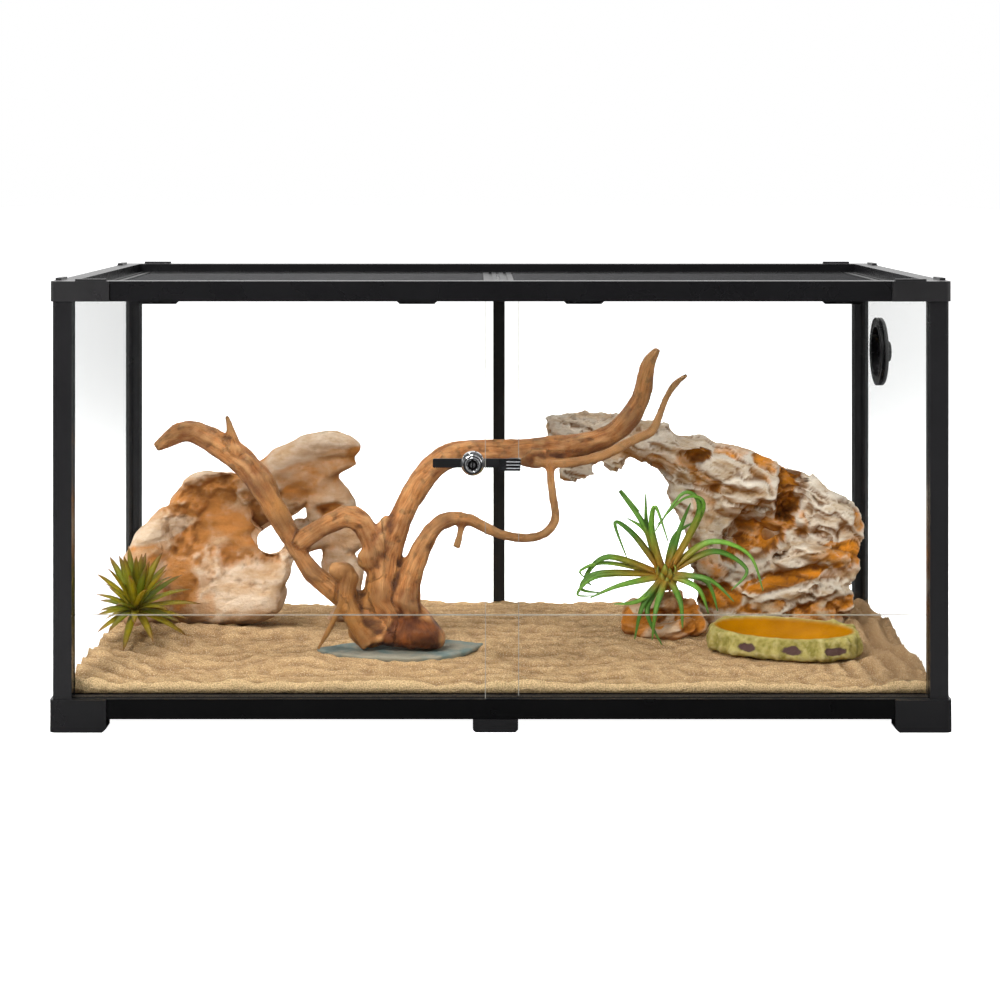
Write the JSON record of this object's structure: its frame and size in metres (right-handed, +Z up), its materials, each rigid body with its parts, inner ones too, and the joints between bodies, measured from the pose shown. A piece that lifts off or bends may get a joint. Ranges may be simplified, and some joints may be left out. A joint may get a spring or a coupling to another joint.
{
  "type": "reptile terrarium",
  "caption": "Front-opening glass reptile terrarium with sliding doors, ratchet-bar lock, screen lids, side vent and a furnished sand floor.",
  "frame": {"origin": "on the floor, under the middle of the tank", "axes": "+Z up, +X to the right along the front, -Y out of the front doors"},
  "size_m": [0.9186, 0.4632, 0.4595],
  "materials": {
    "frame_black": "satin black coating on an extruded section",
    "corner_black": "moulded black, soft gloss",
    "lid_black": "satin black coating",
    "screen_mesh": "black coated woven wire",
    "clip_black": "moulded black",
    "track_black": "extruded black, matte",
    "pile_brown": "short dark pile",
    "screw_steel": "plain zinc",
    "pane_glass": "clear float glass, polished edges",
    "door_glass": "clear float glass, ground edges",
    "vent_black": "moulded black, satin",
    "bar_black": "black oxide steel",
    "sleeve_black": "glossy black sleeve",
    "barrel_chrome": "polished chrome",
    "plug_steel": "bright steel",
    "sand": "fine tan sand",
    "slate": "blue-grey slate",
    "driftwood": "sandblasted root wood",
    "rock_cream": "cream and orange weathered resin stone",
    "rock_orange": "grey and orange weathered resin stone",
    "ledge_rock": "brown and cream resin stone",
    "rosette_leaf": "moulded leaves, olive with brown tips",
    "air_leaf": "moulded leaves, fresh green",
    "dish_resin": "cast resin, rock-textured outside"
  },
  "bodies": {
    "terrarium": {"base_rail_front": "frame_black", "base_rail_back": "frame_black", "base_rail_left": "frame_black", "base_rail_right": "frame_black", "foot_front_left": "corner_black", "foot_front_right": "corner_black", "foot_back_left": "corner_black", "foot_back_right": "corner_black", "middle_foot_front": "corner_black", "middle_foot_back": "corner_black", "post_front_left": "frame_black", "post_front_right": "frame_black", "post_back_left": "frame_black", "post_back_right": "frame_black", "back_strip": "frame_black", "top_rail_front": "frame_black", "top_rail_back": "frame_black", "top_rail_left": "frame_black", "top_rail_right": "frame_black", "top_cap_front_left": "corner_black", "top_cap_front_right": "corner_black", "top_cap_back_left": "corner_black", "top_cap_back_right": "corner_black", "top_centre_bar": "frame_black", "lower_door_track": "track_black", "upper_door_track": "track_black", "track_pile": "pile_brown", "foot_screws": "screw_steel", "bottom_glass": "pane_glass", "back_glass_left": "pane_glass", "back_glass_right": "pane_glass", "side_glass_left": "pane_glass", "side_glass_right": "pane_glass", "low_front_glass": "pane_glass", "vent_inner_ring": "vent_black", "vent_grille": "vent_black", "sand_bed": "sand", "slate_base": "slate", "driftwood": "driftwood", "cave_rock": "rock_cream", "arch_rock": "rock_orange", "ledge_stones": "ledge_rock", "rosette_plant": "rosette_leaf", "air_plant": "air_leaf"},
    "left_door": {"door_left": "door_glass", "lock_bar": "bar_black", "lock_sleeve": "sleeve_black"},
    "right_door": {"door_right": "door_glass"},
    "lock_barrel": {"lock_barrel": "barrel_chrome"},
    "lock_plug": {"lock_plug": "plug_steel"},
    "vent_shutter": {"vent_shutter": "vent_black"},
    "left_lid": {"lid_frame_left": "lid_black", "lid_screen_left": "screen_mesh", "lid_clips_left": "clip_black"},
    "right_lid": {"lid_frame_right": "lid_black", "lid_screen_right": "screen_mesh", "lid_clips_right": "clip_black"},
    "food_dish": {"food_dish": "dish_resin"}
  },
  "joints": [
    {"name": "left_door_slide", "type": "slide", "parent": "terrarium", "child": "left_door", "axis": [1, 0, 0], "range_m": [0, 0.4]},
    {"name": "right_door_slide", "type": "slide", "parent": "terrarium", "child": "right_door", "axis": [-1, 0, 0], "range_m": [0, 0.335]},
    {"name": "lock_barrel_slide", "type": "slide", "parent": "right_door", "child": "lock_barrel", "axis": [-1, 0, 0], "range_m": [0, 0.055]},
    {"name": "lock_plug_turn", "type": "hinge", "parent": "lock_barrel", "child": "lock_plug", "pos_m": [-0.0285, -0.227, 0.2715], "axis": [0, 1, 0], "range_deg": [0, 90]},
    {"name": "vent_shutter_turn", "type": "hinge", "parent": "terrarium", "child": "vent_shutter", "pos_m": [0.452, 0.1015, 0.3593], "axis": [1, 0, 0], "range_deg": [0, 22.5]},
    {"name": "left_lid_lift", "type": "slide", "parent": "terrarium", "child": "left_lid", "axis": [0, 0, 1], "range_m": [0, 0.06]},
    {"name": "right_lid_lift", "type": "slide", "parent": "terrarium", "child": "right_lid", "axis": [0, 0, 1], "range_m": [0, 0.06]},
    {"name": "food_dish_lift", "type": "slide", "parent": "terrarium", "child": "food_dish", "axis": [0, -0.6, 0.8], "range_m": [0, 0.05]}
  ]
}
